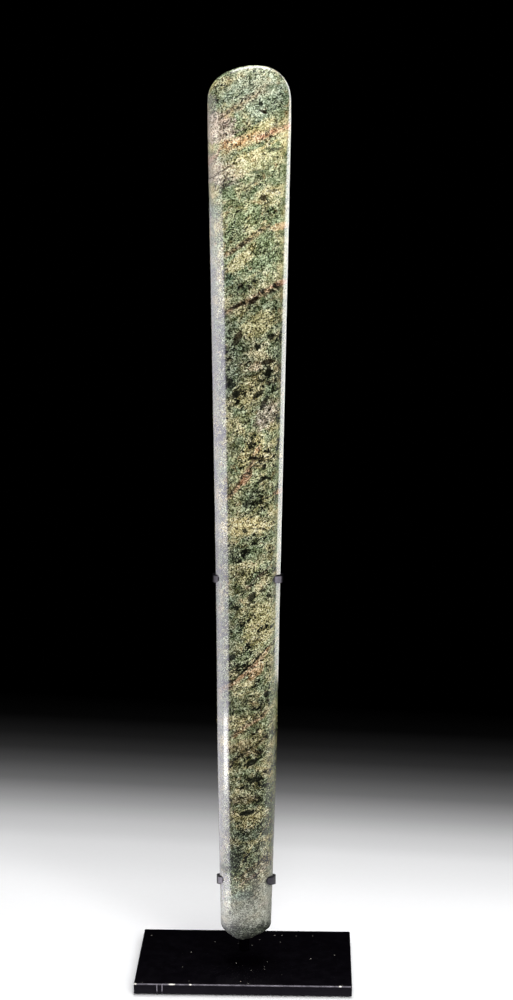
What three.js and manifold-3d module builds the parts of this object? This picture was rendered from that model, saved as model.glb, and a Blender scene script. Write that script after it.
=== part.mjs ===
// A long jadeite axe head held upright by its steel display stand, in millimetres, +Z up.
// The origin is on the underside of the base plate, at its centre. The camera side is -Y.

import * as THREE from "three";
import * as BufferGeometryUtils from "three/addons/utils/BufferGeometryUtils.js";
import Module from "manifold-3d";

const wasm = await Module();
wasm.setup();

// Base plate
const BASE_WIDTH = 127;
const BASE_DEPTH = 76.2;
const BASE_THICKNESS = 7.5;
const BASE_BEVEL_RUN = 3;
const BASE_BEVEL_RISE = 1.4;

// Stone: its heights above the surface, across widths and front-to-back thicknesses
const BUTT_TIP_HEIGHT = 21.6;
const BUTT_SHOULDER_HEIGHT = 31;
const BIT_SHOULDER_HEIGHT = 497;
const BIT_TOP_HEIGHT = 529.9;
const BUTT_WIDTH = 29.9;
const BIT_WIDTH = 45.5;
const SWELL_WIDTH = 1.3;
const SWELL_HEIGHT = 132;
const SWELL_REACH = 65;
const BUTT_THICKNESS = 20;
const BODY_THICKNESS = 27;
const BODY_THICKEST_HEIGHT = 330;
const BIT_TAPER_LENGTH = 95;
const BIT_TAPER_SQUARENESS = 2;
const SECTION_SQUARENESS = 2.3;

// Stone: the midline's place at the butt, its slope to the right and its slight bow
const BUTT_MIDLINE_X = 0.75;
const MIDLINE_SLOPE = 0.0053;
const MIDLINE_BOW = 0.3;

// Stone: the bit is an uneven arch of a crown arc and a corner arc on each side of its apex
const BIT_APEX_X = 6.7;
const LEFT_CROWN_RADIUS = 36;
const LEFT_CORNER_RADIUS = 16;
const RIGHT_CROWN_RADIUS = 26.5;
const RIGHT_CORNER_RADIUS = 17.5;

// Stone: the butt narrows to a low point left of the middle
const BUTT_TIP_X = -2;
const BUTT_LEFT_SQUARENESS = 1.35;
const BUTT_RIGHT_SQUARENESS = 1.35;
const BUTT_UNDER_SQUARENESS = 2;

// Stone: how finely the surface is stepped
const BODY_STEPS = 30;
const END_STEPS = 14;
const STEPS_AROUND = 44;

// Post and clips
const POST_DIAMETER = 6.35;
const POST_X = -0.8;
const POST_Y = 11;
const POST_TOP_HEIGHT = 245.5;
const POST_ROUNDING = 1.2;
const UPPER_CLIP_HEIGHT = 245.5;
const UPPER_STRIP_WIDTH = 4.9;
const LOWER_CLIP_HEIGHT = 61.8;
const LOWER_STRIP_WIDTH = 5.5;
const CLIP_STRIP_THICKNESS = 1.5;
const LEFT_PRONG_REACH = 2.6;
const RIGHT_PRONG_REACH = 3.6;
const SADDLE_WIDTH = 7;

// Clips: how far each arm drops for each millimetre that it runs back from its prongs, which
// stand at this share of the stone's half thickness in front of its middle
const UPPER_ARM_DROP = 0.18;
const LOWER_ARM_DROP = 0.3;
const PRONG_DEPTH_SHARE = 0.7;

// Post and clips: how finely their round stretches are stepped
const CLIP_STEPS_AROUND = 72;
const ROD_STEPS_AROUND = 32;
const ROUNDING_STEPS = 4;

// Room between touching pieces, and how far a cutting shape runs past what it cuts
const GAP = 0.3;
const OVERSHOOT = 1;

const jadeite = new THREE.MeshStandardMaterial({ color: "#6f7f5c", roughness: 0.28, metalness: 0 });
const blackPaint = new THREE.MeshStandardMaterial({ color: "#141215", roughness: 0.42, metalness: 0 });

// Joins and cuts

function toSolid(geometry) {
  const bare = geometry.clone();
  bare.deleteAttribute("normal");
  bare.deleteAttribute("uv");
  const merged = BufferGeometryUtils.mergeVertices(bare, 1e-4);
  return new wasm.Manifold(
    new wasm.Mesh({
      numProp: 3,
      vertProperties: merged.attributes.position.array,
      triVerts: new Uint32Array(merged.index.array),
    }),
  );
}

function toGeometry(solid) {
  const mesh = solid.getMesh();
  const geometry = new THREE.BufferGeometry();
  geometry.setAttribute("position", new THREE.BufferAttribute(mesh.vertProperties, 3));
  geometry.setIndex(new THREE.BufferAttribute(mesh.triVerts, 1));
  geometry.computeVertexNormals();
  return geometry;
}

function named(name, geometry, material) {
  const mesh = new THREE.Mesh(geometry, material);
  mesh.name = name;
  return mesh;
}

// The stone's outline and sections

function roundedEnd(share, squareness) {
  return (1 - share ** squareness) ** (1 / squareness);
}

// The share of the way from the butt's shoulder up to the bit's.
function bodyShare(height) {
  return (height - BUTT_SHOULDER_HEIGHT) / (BIT_SHOULDER_HEIGHT - BUTT_SHOULDER_HEIGHT);
}

function midlineX(height) {
  const share = bodyShare(height);
  const bow = MIDLINE_BOW * 4 * share * (1 - share);
  return BUTT_MIDLINE_X + MIDLINE_SLOPE * (height - BUTT_SHOULDER_HEIGHT) + bow;
}

function bodyHalfWidth(height) {
  const taper = THREE.MathUtils.lerp(BUTT_WIDTH, BIT_WIDTH, bodyShare(height));
  const swell = SWELL_WIDTH * Math.exp(-(((height - SWELL_HEIGHT) / SWELL_REACH) ** 2));
  return (taper + swell) / 2;
}

// How far the arch reaches from its apex at a height, where its side stands at span.
function archReach(height, span, crownRadius, cornerRadius) {
  const cornerX = span - cornerRadius;
  const betweenCentres = crownRadius - cornerRadius;
  const cornerHeight = BIT_TOP_HEIGHT - crownRadius + Math.sqrt(betweenCentres ** 2 - cornerX ** 2);
  if (height <= cornerHeight) {
    return span;
  }
  const joinShare = cornerX / betweenCentres;
  const joinHeight = BIT_TOP_HEIGHT - crownRadius * (1 - Math.sqrt(1 - joinShare ** 2));
  if (height <= joinHeight) {
    return cornerX + Math.sqrt(cornerRadius ** 2 - (height - cornerHeight) ** 2);
  }
  const crownRise = crownRadius - (BIT_TOP_HEIGHT - height);
  return Math.sqrt(crownRadius ** 2 - crownRise ** 2);
}

// The left and right edges of the outline, as x at a height.
function edgesAt(height) {
  const bodyHeight = THREE.MathUtils.clamp(height, BUTT_SHOULDER_HEIGHT, BIT_SHOULDER_HEIGHT);
  const left = midlineX(bodyHeight) - bodyHalfWidth(bodyHeight);
  const right = midlineX(bodyHeight) + bodyHalfWidth(bodyHeight);
  if (height > BIT_SHOULDER_HEIGHT) {
    return [
      BIT_APEX_X - archReach(height, BIT_APEX_X - left, LEFT_CROWN_RADIUS, LEFT_CORNER_RADIUS),
      BIT_APEX_X + archReach(height, right - BIT_APEX_X, RIGHT_CROWN_RADIUS, RIGHT_CORNER_RADIUS),
    ];
  }
  if (height < BUTT_SHOULDER_HEIGHT) {
    const share = (BUTT_SHOULDER_HEIGHT - height) / (BUTT_SHOULDER_HEIGHT - BUTT_TIP_HEIGHT);
    return [
      THREE.MathUtils.lerp(BUTT_TIP_X, left, roundedEnd(share, BUTT_LEFT_SQUARENESS)),
      THREE.MathUtils.lerp(BUTT_TIP_X, right, roundedEnd(share, BUTT_RIGHT_SQUARENESS)),
    ];
  }
  return [left, right];
}

function bodyHalfThickness(height) {
  const share = (BODY_THICKEST_HEIGHT - height) / (BODY_THICKEST_HEIGHT - BUTT_TIP_HEIGHT);
  const fall = share > 0 ? (BODY_THICKNESS - BUTT_THICKNESS) * share ** 2 : 0;
  return (BODY_THICKNESS - fall) / 2;
}

// Full through the body, drawn to an edge at the top and rounded under at the butt.
function halfThickness(height) {
  const fromTop = Math.min(1, (BIT_TOP_HEIGHT - height) / BIT_TAPER_LENGTH);
  const bit = roundedEnd(1 - fromTop, BIT_TAPER_SQUARENESS);
  const fromTip = Math.min(1, (height - BUTT_TIP_HEIGHT) / (BUTT_SHOULDER_HEIGHT - BUTT_TIP_HEIGHT));
  const butt = roundedEnd(1 - fromTip, BUTT_UNDER_SQUARENESS);
  return bodyHalfThickness(height) * bit * butt;
}

// The stone leans just enough for its back to meet both clips, which share one upright post.
const clipBackY = POST_Y - POST_DIAMETER / 2 - GAP - CLIP_STRIP_THICKNESS - GAP;
const upperMidplaneY = clipBackY - halfThickness(UPPER_CLIP_HEIGHT);
const lowerMidplaneY = clipBackY - halfThickness(LOWER_CLIP_HEIGHT);
const leanSlope = (upperMidplaneY - lowerMidplaneY) / (UPPER_CLIP_HEIGHT - LOWER_CLIP_HEIGHT);

function midplaneY(height) {
  return lowerMidplaneY + leanSlope * (height - LOWER_CLIP_HEIGHT);
}

// A point on the rounded section at a height: angle 0 is the right edge, a quarter turn the back.
function sectionPoint(height, angle, clearance = 0) {
  const [left, right] = edgesAt(height);
  const power = 2 / SECTION_SQUARENESS;
  const across = Math.sign(Math.cos(angle)) * Math.abs(Math.cos(angle)) ** power;
  const deep = Math.sign(Math.sin(angle)) * Math.abs(Math.sin(angle)) ** power;
  return new THREE.Vector2(
    (left + right) / 2 + across * ((right - left) / 2 + clearance),
    midplaneY(height) + deep * (halfThickness(height) + clearance),
  );
}

function stoneHeights() {
  const heights = [];
  for (let i = 1; i < END_STEPS; i++) {
    const drop = 1 - Math.cos(((i / END_STEPS) * Math.PI) / 2);
    heights.push(THREE.MathUtils.lerp(BUTT_TIP_HEIGHT, BUTT_SHOULDER_HEIGHT, drop));
  }
  for (let i = 0; i <= BODY_STEPS; i++) {
    heights.push(THREE.MathUtils.lerp(BUTT_SHOULDER_HEIGHT, BIT_SHOULDER_HEIGHT, i / BODY_STEPS));
  }
  for (let i = 1; i < END_STEPS; i++) {
    const rise = Math.sin(((i / END_STEPS) * Math.PI) / 2);
    heights.push(THREE.MathUtils.lerp(BIT_SHOULDER_HEIGHT, BIT_TOP_HEIGHT, rise));
  }
  return heights;
}

function makeAxeHead() {
  const heights = stoneHeights();
  const points = [];
  for (const height of heights) {
    for (let j = 0; j < STEPS_AROUND; j++) {
      const point = sectionPoint(height, (j / STEPS_AROUND) * 2 * Math.PI);
      points.push(point.x, point.y, height);
    }
  }
  const tip = points.length / 3;
  points.push(BUTT_TIP_X, midplaneY(BUTT_TIP_HEIGHT), BUTT_TIP_HEIGHT);
  points.push(BIT_APEX_X, midplaneY(BIT_TOP_HEIGHT), BIT_TOP_HEIGHT);
  const lastRing = (heights.length - 1) * STEPS_AROUND;
  const faces = [];
  for (let j = 0; j < STEPS_AROUND; j++) {
    const next = (j + 1) % STEPS_AROUND;
    faces.push(tip, next, j);
    faces.push(tip + 1, lastRing + j, lastRing + next);
    for (let ring = 0; ring < lastRing; ring += STEPS_AROUND) {
      const above = ring + STEPS_AROUND;
      faces.push(ring + j, ring + next, above + next);
      faces.push(ring + j, above + next, above + j);
    }
  }
  const geometry = new THREE.BufferGeometry();
  geometry.setAttribute("position", new THREE.Float32BufferAttribute(points, 3));
  geometry.setIndex(faces);
  geometry.computeVertexNormals();
  return named("axe_head", geometry, jadeite);
}

// The plate has square upper edges and an eased lower edge all round.
function makeStandBase() {
  const outline = new THREE.Shape();
  const x = BASE_WIDTH / 2 - BASE_BEVEL_RUN;
  const y = BASE_DEPTH / 2 - BASE_BEVEL_RUN;
  outline.moveTo(-x, -y);
  outline.lineTo(x, -y);
  outline.lineTo(x, y);
  outline.lineTo(-x, y);
  const lower = new THREE.ExtrudeGeometry(outline, {
    depth: BASE_THICKNESS,
    bevelEnabled: true,
    bevelThickness: BASE_BEVEL_RISE,
    bevelSize: BASE_BEVEL_RUN,
    bevelSegments: 1,
    curveSegments: 1,
  });
  lower.translate(0, 0, BASE_BEVEL_RISE);
  const slab = new THREE.BoxGeometry(BASE_WIDTH + OVERSHOOT, BASE_DEPTH + OVERSHOOT, BASE_THICKNESS);
  slab.translate(0, 0, BASE_THICKNESS / 2);
  return named("stand_base", toGeometry(toSolid(lower).intersect(toSolid(slab))), blackPaint);
}

function makeStandPost() {
  const radius = POST_DIAMETER / 2;
  const foot = BASE_THICKNESS + GAP;
  const profile = [new THREE.Vector2(0, foot), new THREE.Vector2(radius, foot)];
  for (let i = 0; i <= ROUNDING_STEPS; i++) {
    const turn = ((i / ROUNDING_STEPS) * Math.PI) / 2;
    const inset = POST_ROUNDING * (1 - Math.cos(turn));
    const rise = POST_ROUNDING * Math.sin(turn);
    profile.push(new THREE.Vector2(radius - inset, POST_TOP_HEIGHT - POST_ROUNDING + rise));
  }
  profile.push(new THREE.Vector2(0, POST_TOP_HEIGHT));
  const geometry = new THREE.LatheGeometry(profile, ROD_STEPS_AROUND);
  geometry.rotateX(Math.PI / 2);
  geometry.translate(POST_X, POST_Y, 0);
  return named("stand_post", geometry, blackPaint);
}

// A closed band around the section, later opened at the front between the prongs.
function makeBand(height, stripWidth) {
  const band = new THREE.Shape();
  const inside = new THREE.Path();
  for (let i = 0; i < CLIP_STEPS_AROUND; i++) {
    const angle = (i / CLIP_STEPS_AROUND) * 2 * Math.PI;
    const outer = sectionPoint(height, angle, GAP + CLIP_STRIP_THICKNESS);
    const inner = sectionPoint(height, angle, GAP);
    if (i === 0) {
      band.moveTo(outer.x, outer.y);
      inside.moveTo(inner.x, inner.y);
    } else {
      band.lineTo(outer.x, outer.y);
      inside.lineTo(inner.x, inner.y);
    }
  }
  band.holes.push(inside);
  const geometry = new THREE.ExtrudeGeometry(band, { depth: stripWidth, bevelEnabled: false });
  geometry.translate(0, 0, height - stripWidth / 2);
  return toSolid(geometry);
}

// The space between the prongs, seen from the front, with a hollow that rounds each prong's end.
function makeFrontOpening(height, stripWidth) {
  const [left, right] = edgesAt(height);
  const radius = stripWidth / 2;
  const leftTip = left + LEFT_PRONG_REACH;
  const rightTip = right - RIGHT_PRONG_REACH;
  const leftX = leftTip - radius;
  const rightX = rightTip + radius;
  const opening = new THREE.Shape();
  opening.moveTo(leftX, height - radius - OVERSHOOT);
  opening.lineTo(rightX, height - radius - OVERSHOOT);
  opening.absarc(rightX, height, radius, -Math.PI / 2, Math.PI / 2, true);
  opening.lineTo(rightX, height + radius + OVERSHOOT);
  opening.lineTo(leftX, height + radius + OVERSHOOT);
  opening.absarc(leftX, height, radius, Math.PI / 2, -Math.PI / 2, true);
  const depth = BODY_THICKNESS;
  const geometry = new THREE.ExtrudeGeometry(opening, { depth, bevelEnabled: false });
  geometry.rotateX(Math.PI / 2);
  geometry.translate(0, midplaneY(height), 0);
  return toSolid(geometry);
}

// The brazed joint: a small block behind the band, hollowed to the post.
function makeSaddle(height, stripWidth) {
  const depth = POST_DIAMETER / 2;
  const block = new THREE.BoxGeometry(SADDLE_WIDTH, depth, stripWidth);
  block.translate(POST_X, clipBackY + GAP + CLIP_STRIP_THICKNESS / 2 + depth / 2, height);
  const radius = POST_DIAMETER / 2 + GAP;
  const hollow = new THREE.CylinderGeometry(radius, radius, stripWidth + OVERSHOOT, ROD_STEPS_AROUND);
  hollow.rotateX(Math.PI / 2);
  hollow.translate(POST_X, POST_Y, height);
  return toSolid(block).subtract(toSolid(hollow));
}

// The prongs stay at the clip's height, and the arms slope down from them to the post.
function makeClip(name, height, stripWidth, armDrop) {
  const opened = makeBand(height, stripWidth).subtract(makeFrontOpening(height, stripWidth));
  const geometry = toGeometry(opened.add(makeSaddle(height, stripWidth)));
  const prongY = midplaneY(height) - PRONG_DEPTH_SHARE * halfThickness(height);
  geometry.translate(0, -prongY, 0);
  geometry.applyMatrix4(new THREE.Matrix4().makeShear(0, 0, 0, -armDrop, 0, 0));
  geometry.translate(0, prongY, 0);
  return named(name, geometry, blackPaint);
}

const axeHeadOnStand = new THREE.Group();
axeHeadOnStand.add(makeAxeHead());
axeHeadOnStand.add(makeStandBase());
axeHeadOnStand.add(makeStandPost());
axeHeadOnStand.add(makeClip("upper_clip", UPPER_CLIP_HEIGHT, UPPER_STRIP_WIDTH, UPPER_ARM_DROP));
axeHeadOnStand.add(makeClip("lower_clip", LOWER_CLIP_HEIGHT, LOWER_STRIP_WIDTH, LOWER_ARM_DROP));

export default axeHeadOnStand;
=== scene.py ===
"""A polished jadeite axe head upright in its black steel stand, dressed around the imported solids."""

import math
from collections import namedtuple

import bmesh
import bpy
from bpy.props import FloatProperty, FloatVectorProperty, PointerProperty, StringProperty
from bpy.types import Operator, Panel, PropertyGroup
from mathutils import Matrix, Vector, noise


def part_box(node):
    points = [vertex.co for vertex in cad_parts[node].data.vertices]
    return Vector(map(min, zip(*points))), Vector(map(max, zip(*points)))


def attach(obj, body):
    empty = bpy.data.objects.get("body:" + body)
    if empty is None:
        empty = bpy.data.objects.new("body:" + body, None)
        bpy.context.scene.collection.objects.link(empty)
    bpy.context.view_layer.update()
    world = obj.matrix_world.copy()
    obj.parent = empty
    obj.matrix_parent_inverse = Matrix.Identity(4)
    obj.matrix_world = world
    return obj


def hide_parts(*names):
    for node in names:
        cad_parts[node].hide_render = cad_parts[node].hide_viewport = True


bl_info = {
    "name": "Jadeite axe head on its stand",
    "version": (1, 0, 0),
    "blender": (4, 5, 0),
    "location": "View3D > Sidebar > Axe head",
    "description": "Dresses a packed stone axe head and its steel stand",
    "category": "Object",
}

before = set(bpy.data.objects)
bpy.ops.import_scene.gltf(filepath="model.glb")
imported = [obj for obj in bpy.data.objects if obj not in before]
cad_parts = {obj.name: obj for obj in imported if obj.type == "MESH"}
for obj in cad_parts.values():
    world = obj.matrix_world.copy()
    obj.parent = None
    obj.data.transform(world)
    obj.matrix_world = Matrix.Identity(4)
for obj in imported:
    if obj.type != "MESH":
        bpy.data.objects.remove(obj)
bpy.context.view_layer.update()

MM = 0.001
BODY = "root"
STONE_SLOT = "jadeite"
STEEL_SLOT = "black_painted_steel"

# The photograph's camera, in metres and degrees
CAMERA_PLACE = (0.0393, -1.10071, 0.5198)
CAMERA_PITCH = 78.097
CAMERA_TURN = 1.686
CAMERA_LENS = 71.0
CAMERA_SENSOR = 36.0


# Colours

def linear(hex_colour):
    """Turns an sRGB hex value into the linear RGBA that the shaders take."""
    digits = hex_colour.lstrip("#")
    shares = [int(digits[i:i + 2], 16) / 255 for i in (0, 2, 4)]
    return tuple(s / 12.92 if s <= 0.04045 else ((s + 0.055) / 1.055) ** 2.4 for s in shares) + (1.0,)


def add(tree, kind, inputs=(), **settings):
    """Adds one node, sets it up, and fills or links its inputs, listed in order or by name or number."""
    node = tree.nodes.new(kind)
    for name, value in settings.items():
        setattr(node, name, value)
    for key, value in inputs.items() if isinstance(inputs, dict) else enumerate(inputs):
        source = value.outputs[0] if isinstance(value, bpy.types.Node) else value
        if isinstance(source, bpy.types.NodeSocket):
            tree.links.new(source, node.inputs[key])
        else:
            node.inputs[key].default_value = source
    return node


def new_material(name):
    """A material with a Principled shader, its tree, the shader and the position in millimetres."""
    material = bpy.data.materials.new(name)
    material.use_nodes = True
    tree = material.node_tree
    shader = tree.nodes["Principled BSDF"]
    place = add(tree, "ShaderNodeTexCoord").outputs["Object"]
    in_mm = add(tree, "ShaderNodeVectorMath", {0: place, "Scale": 1 / MM}, operation="SCALE")
    return material, tree, shader, in_mm


def stain(tree, under, over, share):
    """Lays one colour over another by a share from 0 to 1."""
    mix = add(tree, "ShaderNodeMix", {0: share, 6: under, 7: over}, data_type="RGBA")
    return mix.outputs[2]


def fade(tree, value, low, high, start=0.0, end=1.0, shape="SMOOTHSTEP"):
    """A smooth step, or a line if asked for, from start to end as the value goes from low to high."""
    span = {"Value": value, "From Min": low, "From Max": high, "To Min": start, "To Max": end}
    return add(tree, "ShaderNodeMapRange", span, interpolation_type=shape)


def product(tree, *values):
    """Multiplies several shares together."""
    result = values[0]
    for value in values[1:]:
        result = add(tree, "ShaderNodeMath", [result, value], operation="MULTIPLY")
    return result


def plus(tree, base, value, weight):
    """A base with a weighted value added to it."""
    return add(tree, "ShaderNodeMath", [value, weight, base], operation="MULTIPLY_ADD")


def strongest(tree, first, second):
    """The greater of two shares."""
    return add(tree, "ShaderNodeMath", [first, second], operation="MAXIMUM")


def apart(tree, value, middle):
    """How far a value lies from a middle on either side."""
    gap = add(tree, "ShaderNodeMath", [value, middle], operation="SUBTRACT")
    return add(tree, "ShaderNodeMath", [gap], operation="ABSOLUTE")


def far_along(tree, vector, axis):
    """How far a point lies along an axis."""
    return add(tree, "ShaderNodeVectorMath", [vector, axis], operation="DOT_PRODUCT").outputs["Value"]


def ramp(tree, value, stops):
    """A colour for each value, from stops of position and colour."""
    node = add(tree, "ShaderNodeValToRGB", [value])
    elements = node.color_ramp.elements
    while len(elements) < len(stops):
        elements.new(0.5)
    for element, (position, colour) in zip(elements, stops):
        element.position = position
        element.color = colour
    return node.outputs[0]


# Jadeite: heights are above the surface it stands on, all in millimetres

# Colours of its marks, as sRGB hex values
CREAM = "#dccb98"
STRAW = "#b8ab74"
OLIVE = "#968f5c"
MOSS = "#4b5a42"
BOTTLE = "#2e432f"
TEAL = "#5f7d69"
PALE_GREEN = "#8b9a82"
LILAC = "#b09a94"
ORANGE = "#cda078"
RUST = "#b8866a"
BRICK = "#b07c6a"
BROWN = "#856a4a"
TAN = "#c2a07c"
DUN = "#6f7360"
BLACK_GREEN = "#0d100a"
BLACK_BROWN = "#191009"
SLATE = "#1a1c14"

# A vein is a thin sheet through the stone that shows as a line rising to the right. It has its
# height at the middle, rise in degrees, left and right ends on the front, lean towards the back,
# the reach, colour and strength of the stain round it, and the half width and strength of the
# dark line in it, with how much of that line is missing and how far it lies above the stain.
Vein = namedtuple("Vein", "height rise left right lean reach colour strength core dark broken offset")
VEINS = (
    Vein(510, 34, -12, 14, 0.2, 3.2, TAN, 0.50, 0.9, 0.85, 0.50, 0),
    Vein(490, 16, -12, 9, 0.1, 4.8, ORANGE, 0.95, 0.3, 0.20, 0.50, 1.0),
    Vein(490, 16, 7, 28, 0.1, 3.6, RUST, 0.80, 0.3, 0.25, 0.50, 1.2),
    Vein(499, 48, -23, -11, 0.1, 2.2, BRICK, 0.50, 0.3, 0.00, 0.50, 0),
    Vein(482, 24, -9, 25, 0.1, 1.4, CREAM, 0.60, 0.3, 0.25, 0.45, 0.6),
    Vein(481, 33, -22, -1, 0.1, 0.9, BROWN, 0.50, 0.4, 0.60, 0.20, 0),
    Vein(470, 22, -14, -5, 0.1, 0.7, DUN, 0.40, 0.4, 0.70, 0.30, 0),
    Vein(465, 26, 0, 8, 0.1, 0.7, DUN, 0.40, 0.4, 0.70, 0.30, 0),
    Vein(434, 33, -10, 15, -0.2, 2.4, TAN, 0.55, 1.2, 0.95, 0.47, 0),
    Vein(402, 27, -12, 22, -0.2, 2.4, RUST, 0.50, 1.5, 0.97, 0.46, 0),
    Vein(361, 15, -3, 14, -0.2, 1.6, OLIVE, 0.45, 0.5, 0.85, 0.40, 0),
    Vein(306, 57, -10, 8, 0.3, 2.2, RUST, 0.65, 0.5, 0.75, 0.45, 0.8),
    Vein(310, 20, 4, 16, 0.3, 0.8, BROWN, 0.40, 0.4, 0.70, 0.30, 0),
    Vein(283, 34, -3, 21, 0.3, 1.5, OLIVE, 0.60, 0.4, 0.90, 0.15, 1.0),
    Vein(281, 34, 2, 18, 0.3, 0.8, OLIVE, 0.40, 0.4, 0.80, 0.30, -0.6),
    Vein(278, -15, 3, 16, 0.3, 0.7, BROWN, 0.40, 0.4, 0.80, 0.35, 0),
    Vein(239, 44, 1, 15, -0.2, 0.9, BRICK, 0.55, 0.4, 0.90, 0.10, 0.2),
    Vein(190, 43, -15, 16, 0.35, 2.6, RUST, 0.70, 0.5, 0.97, -0.10, 1.7),
    Vein(157, 36, -7, 14, 0.1, 2.4, RUST, 0.60, 0.5, 0.85, 0.45, 0.6),
    Vein(142, 39, -9, 16, -0.3, 2.3, BROWN, 0.55, 0.5, 0.90, 0.30, 0.4),
    Vein(77, 56, -2, 12, 0.0, 0.7, STRAW, 0.75, 0.3, 0.00, 0.50, 0),
    Vein(62, 34, -3, 15, 0.0, 1.4, BRICK, 0.45, 0.3, 0.30, 0.50, 0),
)

# A tint is a soft ragged stain near the front: its middle, half length, half breadth, tilt in
# degrees, colour and strength. A spot is a dark or black one with a harder edge.
Patch = namedtuple("Patch", "across height length breadth tilt colour strength")
TINTS = (
    Patch(6, 514, 18, 10, 10, PALE_GREEN, 0.60),
    Patch(-16, 497, 8, 14, 80, LILAC, 0.60),
    Patch(-17, 474, 7, 16, 80, LILAC, 0.50),
    Patch(9, 503, 6, 4, 60, PALE_GREEN, 0.60),
    Patch(-8, 482, 6, 3, 30, DUN, 0.50),
    Patch(4, 478, 16, 6, 24, CREAM, 0.25),
    Patch(10, 497, 9, 3, 30, STRAW, 0.50),
    Patch(20, 444, 5, 2, 12, TAN, 0.60),
    Patch(-2, 425, 9, 3.5, 35, CREAM, 0.40),
    Patch(-8, 415, 4, 3, 60, TEAL, 0.60),
    Patch(20, 413, 5, 1.6, 15, RUST, 0.60),
    Patch(9, 391, 10, 6, 32, STRAW, 0.55),
    Patch(-8, 388, 5, 5, 60, MOSS, 0.60),
    Patch(-7, 366, 13, 6, 78, MOSS, 0.60),
    Patch(7.3, 367.7, 4, 2.5, 30, TAN, 0.45),
    Patch(3, 354, 11, 6, 40, STRAW, 0.45),
    Patch(13, 340, 9, 5, 60, LILAC, 0.45),
    Patch(13.8, 327, 2.6, 2.2, 40, MOSS, 0.60),
    Patch(-6.5, 322, 9, 3.5, 52, MOSS, 0.60),
    Patch(4.5, 319, 11, 4.5, 55, STRAW, 0.55),
    Patch(7.8, 320.5, 3, 1.4, 50, ORANGE, 0.75),
    Patch(2, 305, 5, 2, 57, RUST, 0.60),
    Patch(6, 296, 8, 4.5, 20, MOSS, 0.65),
    Patch(20, 296, 4, 1.5, 12, RUST, 0.60),
    Patch(1, 277, 15, 5.5, 8, CREAM, 0.70),
    Patch(13, 281, 4.5, 1.8, 5, MOSS, 0.65),
    Patch(-8, 262, 5, 7, 80, MOSS, 0.60),
    Patch(3, 249, 9, 2.4, 42, OLIVE, 0.50),
    Patch(9, 219, 14, 8, 70, STRAW, 0.50),
    Patch(-7.5, 216, 22, 6, 86, MOSS, 0.50),
    Patch(7, 191, 7, 2.5, 45, ORANGE, 0.50),
    Patch(-3, 171, 6, 4, 30, MOSS, 0.50),
    Patch(-2, 146, 9, 3, 30, BROWN, 0.40),
    Patch(0, 113.5, 9, 3, 10, BROWN, 0.45),
    Patch(4, 104, 9, 4, 10, STRAW, 0.50),
    Patch(3, 92, 12, 4.0, 5, BOTTLE, 0.75),
    Patch(-5, 77, 9, 4.5, 72, BOTTLE, 0.80),
    Patch(9, 84, 4, 3, 30, BOTTLE, 0.65),
    Patch(8, 71, 12, 3.5, 35, BROWN, 0.50),
    Patch(5, 67, 4, 2.4, 30, MOSS, 0.65),
    Patch(-1, 53, 6, 2.8, 14, TEAL, 0.65),
    Patch(11, 47, 3, 1.0, 20, BRICK, 0.50),
)
SPOTS = (
    Patch(18.3, 485.6, 4.5, 0.8, 12, SLATE, 0.65),
    Patch(10, 509.5, 1.3, 1.2, 0, BLACK_GREEN, 0.90),
    Patch(11, 505.5, 2.4, 0.9, -20, BLACK_BROWN, 0.90),
    Patch(18, 499, 2.6, 1.2, 70, SLATE, 0.55),
    Patch(15, 518, 4, 1.4, 20, MOSS, 0.45),
    Patch(7.3, 473.5, 4.5, 0.9, 10, MOSS, 0.60),
    Patch(11.3, 459.7, 1.9, 1.7, 0, BLACK_BROWN, 0.90),
    Patch(16, 463.4, 3.4, 0.8, 5, SLATE, 0.65),
    Patch(6.5, 414.7, 1.3, 1.1, 0, BLACK_GREEN, 0.95),
    Patch(3.7, 411.5, 1.2, 1.1, 0, BLACK_BROWN, 0.90),
    Patch(5.9, 404, 3.8, 1.4, 38, BLACK_BROWN, 0.95),
    Patch(-3.5, 401, 3.2, 0.9, 28, BLACK_BROWN, 0.90),
    Patch(-3, 383, 4.4, 1.9, 62, BLACK_BROWN, 0.85),
    Patch(15.4, 384, 1.9, 1.7, 0, BLACK_GREEN, 0.90),
    Patch(8, 378.5, 1.9, 1.6, 0, BLACK_GREEN, 0.95),
    Patch(13.7, 370, 4, 1.5, 15, BLACK_BROWN, 0.90),
    Patch(-7, 358, 1.6, 3, 0, BLACK_GREEN, 0.85),
    Patch(-3.5, 352.2, 2.6, 2.0, 20, BLACK_GREEN, 0.95),
    Patch(8.5, 352, 4, 1.4, 40, BLACK_GREEN, 0.90),
    Patch(12, 347.5, 4.5, 1.4, 62, BLACK_GREEN, 0.90),
    Patch(10.8, 304, 3.5, 1.3, 35, BLACK_GREEN, 0.92),
    Patch(13, 304.6, 3.0, 0.8, -12, BLACK_GREEN, 0.90),
    Patch(1.8, 289.5, 2.4, 1.8, 20, SLATE, 0.80),
    Patch(1, 274.3, 1.5, 1.4, 0, BLACK_GREEN, 0.90),
    Patch(5, 236, 3.2, 1.9, 60, BLACK_GREEN, 0.92),
    Patch(10.8, 239.5, 1.9, 1.0, 20, BLACK_GREEN, 0.90),
    Patch(-3.8, 229, 1.5, 1.3, 0, BLACK_GREEN, 0.92),
    Patch(14.5, 236, 1.6, 1.2, 0, BLACK_GREEN, 0.88),
    Patch(-6, 200, 2.6, 1.6, 40, BLACK_GREEN, 0.90),
    Patch(13.8, 178, 1.6, 1.4, 0, BLACK_GREEN, 0.88),
    Patch(4.5, 136.5, 4.6, 1.7, 28, BLACK_GREEN, 0.95),
    Patch(6, 126, 3.0, 1.6, 20, SLATE, 0.88),
    Patch(12.6, 122, 2.6, 1.0, 10, BLACK_GREEN, 0.88),
    Patch(1.8, 105.5, 5, 1.6, 14, BLACK_GREEN, 0.95),
)

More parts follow.
